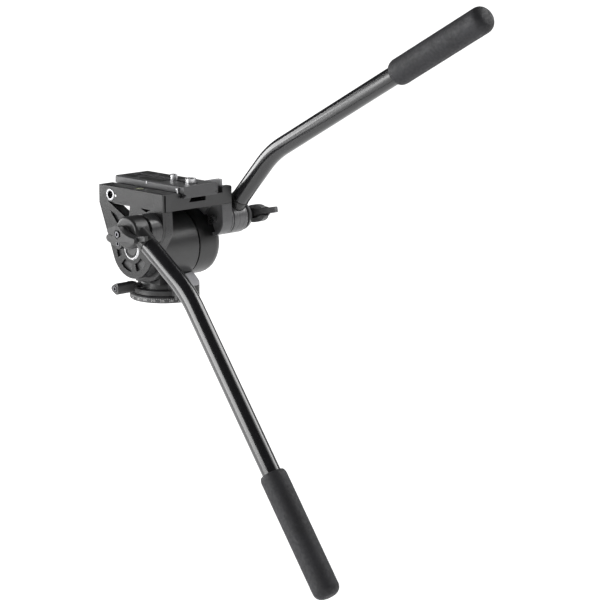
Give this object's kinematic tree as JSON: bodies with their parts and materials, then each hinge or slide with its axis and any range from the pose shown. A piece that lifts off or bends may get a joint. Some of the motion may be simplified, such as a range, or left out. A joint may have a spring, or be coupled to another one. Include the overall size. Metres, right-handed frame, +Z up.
{
  "type": "fluid video head",
  "caption": "Compact fluid video head: round pan base, tilt drum between side cheeks, sliding camera plate and bent pan handles with foam grips on both sides.",
  "frame": {"origin": "centre of the base's underside, where the tripod screw enters", "axes": "+Z up along the pan axis, +Y forward to the lens side, +X to the head's right; the tilt axis is along X and both handles point to the rear, -Y"},
  "size_m": [0.1571, 0.3772, 0.4755],
  "materials": {
    "base_plate": "satin black anodised",
    "tripod_thread_insert": "bright turned steel",
    "pan_scale_ring": "satin black anodised",
    "pan_friction_washer": "low-friction plastic",
    "pan_retaining_nut": "bright turned steel",
    "pan_housing": "satin black paint on cast alloy",
    "tilt_drum": "satin black anodised",
    "bearing_carrier": "satin black anodised",
    "damping_stator": "bright turned steel",
    "counterbalance_spring": "bright turned steel",
    "pan_lock_stud": "bright turned steel",
    "front_drum_screw": "bright turned steel",
    "rear_drum_screw": "bright turned steel",
    "left_tilt_bearing": "sintered bronze",
    "right_tilt_bearing": "sintered bronze",
    "pan_lock_knob": "fine matte black",
    "pan_lock_screw": "bright turned steel",
    "tilt_drag_housing": "satin black anodised",
    "tilt_shaft": "bright turned steel",
    "damping_rotor": "bright turned steel",
    "left_cheek": "satin black paint on cast alloy",
    "left_side_plate": "satin black anodised",
    "right_cheek": "satin black paint on cast alloy",
    "tilt_platform": "satin black anodised",
    "level_cup": "fine matte black",
    "level_vial": "clear yellow-green",
    "safety_pin_spring": "bright turned steel",
    "accessory_socket": "bright turned steel",
    "anti_twist_pin": "bright turned steel",
    "left_rosette": "satin black anodised",
    "right_rosette": "satin black anodised",
    "left_rosette_bolt": "bright turned steel",
    "right_rosette_bolt": "bright turned steel",
    "lock_lever_bolt": "bright turned steel",
    "tilt_lock_stud": "bright turned steel",
    "front_side_screw": "bright turned steel",
    "rear_side_screw": "bright turned steel",
    "quick_release_plate": "satin black anodised",
    "left_front_plate_pad": "matte rubber",
    "left_rear_plate_pad": "matte rubber",
    "right_front_plate_pad": "matte rubber",
    "right_rear_plate_pad": "matte rubber",
    "quarter_camera_screw": "bright turned steel",
    "three_eighths_camera_screw": "bright turned steel",
    "clamp_jaw": "satin black anodised",
    "plate_lock_lever": "satin black anodised",
    "safety_pin": "bright turned steel",
    "tilt_lock_lever": "fine matte black",
    "tilt_lock_screw": "bright turned steel",
    "left_handle_clamp": "satin black paint on cast alloy",
    "left_handle_tube": "semi-gloss black",
    "left_handle_grip": "matte closed-cell foam",
    "right_handle_clamp": "satin black paint on cast alloy",
    "right_handle_tube": "semi-gloss black",
    "right_handle_grip": "matte closed-cell foam",
    "right_clamp_collar": "satin black anodised",
    "left_clamp_lever": "fine matte black",
    "left_lever_screw": "bright turned steel",
    "right_clamp_lever": "fine matte black",
    "right_lever_screw": "bright turned steel"
  },
  "bodies": {
    "base": {"base_plate": "base_plate", "tripod_thread_insert": "tripod_thread_insert", "pan_scale_ring": "pan_scale_ring", "pan_friction_washer": "pan_friction_washer", "pan_retaining_nut": "pan_retaining_nut"},
    "pan_body": {"pan_housing": "pan_housing", "tilt_drum": "tilt_drum", "bearing_carrier": "bearing_carrier", "damping_stator": "damping_stator", "counterbalance_spring": "counterbalance_spring", "pan_lock_stud": "pan_lock_stud", "front_drum_screw": "front_drum_screw", "rear_drum_screw": "rear_drum_screw", "left_tilt_bearing": "left_tilt_bearing", "right_tilt_bearing": "right_tilt_bearing"},
    "pan_knob": {"pan_lock_knob": "pan_lock_knob", "pan_lock_screw": "pan_lock_screw"},
    "tilt_body": {"tilt_drag_housing": "tilt_drag_housing", "tilt_shaft": "tilt_shaft", "damping_rotor": "damping_rotor", "left_cheek": "left_cheek", "left_side_plate": "left_side_plate", "right_cheek": "right_cheek", "tilt_platform": "tilt_platform", "level_cup": "level_cup", "level_vial": "level_vial", "safety_pin_spring": "safety_pin_spring", "accessory_socket": "accessory_socket", "anti_twist_pin": "anti_twist_pin", "left_rosette": "left_rosette", "right_rosette": "right_rosette", "left_rosette_bolt": "left_rosette_bolt", "right_rosette_bolt": "right_rosette_bolt", "lock_lever_bolt": "lock_lever_bolt", "tilt_lock_stud": "tilt_lock_stud", "front_side_screw": "front_side_screw", "rear_side_screw": "rear_side_screw"},
    "plate_body": {"quick_release_plate": "quick_release_plate", "left_front_plate_pad": "left_front_plate_pad", "left_rear_plate_pad": "left_rear_plate_pad", "right_front_plate_pad": "right_front_plate_pad", "right_rear_plate_pad": "right_rear_plate_pad"},
    "small_camera_screw": {"quarter_camera_screw": "quarter_camera_screw"},
    "large_camera_screw": {"three_eighths_camera_screw": "three_eighths_camera_screw"},
    "jaw_body": {"clamp_jaw": "clamp_jaw"},
    "lock_lever_body": {"plate_lock_lever": "plate_lock_lever"},
    "safety_button": {"safety_pin": "safety_pin"},
    "tilt_lock_body": {"tilt_lock_lever": "tilt_lock_lever", "tilt_lock_screw": "tilt_lock_screw"},
    "left_handle": {"left_handle_clamp": "left_handle_clamp", "left_handle_tube": "left_handle_tube", "left_handle_grip": "left_handle_grip"},
    "right_handle": {"right_handle_clamp": "right_handle_clamp", "right_handle_tube": "right_handle_tube", "right_handle_grip": "right_handle_grip", "right_clamp_collar": "right_clamp_collar"},
    "left_clamp_lever_body": {"left_clamp_lever": "left_clamp_lever", "left_lever_screw": "left_lever_screw"},
    "right_clamp_lever_body": {"right_clamp_lever": "right_clamp_lever", "right_lever_screw": "right_lever_screw"}
  },
  "joints": [
    {"name": "pan", "type": "hinge", "parent": "base", "child": "pan_body", "pos_m": [0, 0, 0], "axis": [0, 0, 1], "continuous": true},
    {"name": "tilt", "type": "hinge", "parent": "pan_body", "child": "tilt_body", "pos_m": [0, -0.003, 0.048], "axis": [1, 0, 0], "range_deg": [-70, 90]},
    {"name": "pan_lock_turn", "type": "hinge", "parent": "pan_body", "child": "pan_knob", "pos_m": [-0.0415, 0.006, 0.0132], "axis": [1, 0, 0], "continuous": true},
    {"name": "tilt_lock_swing", "type": "hinge", "parent": "tilt_body", "child": "tilt_lock_body", "pos_m": [-0.043, 0.0074, 0.0519], "axis": [1, 0, 0], "range_deg": [0, 70]},
    {"name": "plate_slide", "type": "slide", "parent": "tilt_body", "child": "plate_body", "axis": [0, 1, 0], "range_m": [-0.02, 0.02]},
    {"name": "small_screw_turn", "type": "hinge", "parent": "plate_body", "child": "small_camera_screw", "pos_m": [0, -0.0135, 0.105], "axis": [0, 0, 1], "continuous": true},
    {"name": "large_screw_turn", "type": "hinge", "parent": "plate_body", "child": "large_camera_screw", "pos_m": [0, -0.0355, 0.105], "axis": [0, 0, 1], "continuous": true},
    {"name": "plate_lock_swing", "type": "hinge", "parent": "tilt_body", "child": "lock_lever_body", "pos_m": [0.0339, -0.002, 0.099], "axis": [0, 0, 1], "range_deg": [0, 75]},
    {"name": "jaw_slide", "type": "slide", "parent": "tilt_body", "child": "jaw_body", "axis": [1, 0, 0], "range_m": [0, 0.00119]},
    {"name": "safety_pin_press", "type": "slide", "parent": "tilt_body", "child": "safety_button", "axis": [0, 0, 1], "range_m": [-0.0026, 0], "stiffness_N_per_m": 400, "springref_m": 0.001, "deforming": ["safety_pin_spring"]},
    {"name": "left_handle_swing", "type": "hinge", "parent": "tilt_body", "child": "left_handle", "pos_m": [-0.0606, -0.031, 0.069], "axis": [1, 0, 0], "range_deg": [-120, 56]},
    {"name": "right_handle_swing", "type": "hinge", "parent": "tilt_body", "child": "right_handle", "pos_m": [0.0508, -0.031, 0.069], "axis": [1, 0, 0], "range_deg": [-5, 137]},
    {"name": "left_clamp_lever_turn", "type": "hinge", "parent": "left_handle", "child": "left_clamp_lever_body", "pos_m": [-0.074, -0.031, 0.069], "axis": [1, 0, 0], "continuous": true},
    {"name": "right_clamp_lever_turn", "type": "hinge", "parent": "right_handle", "child": "right_clamp_lever_body", "pos_m": [0.0725, -0.031, 0.069], "axis": [1, 0, 0], "continuous": true}
  ],
  "couplings": [
    {"joint": "jaw_slide", "follows": "plate_lock_swing", "m_per_rad": 0.0009}
  ]
}
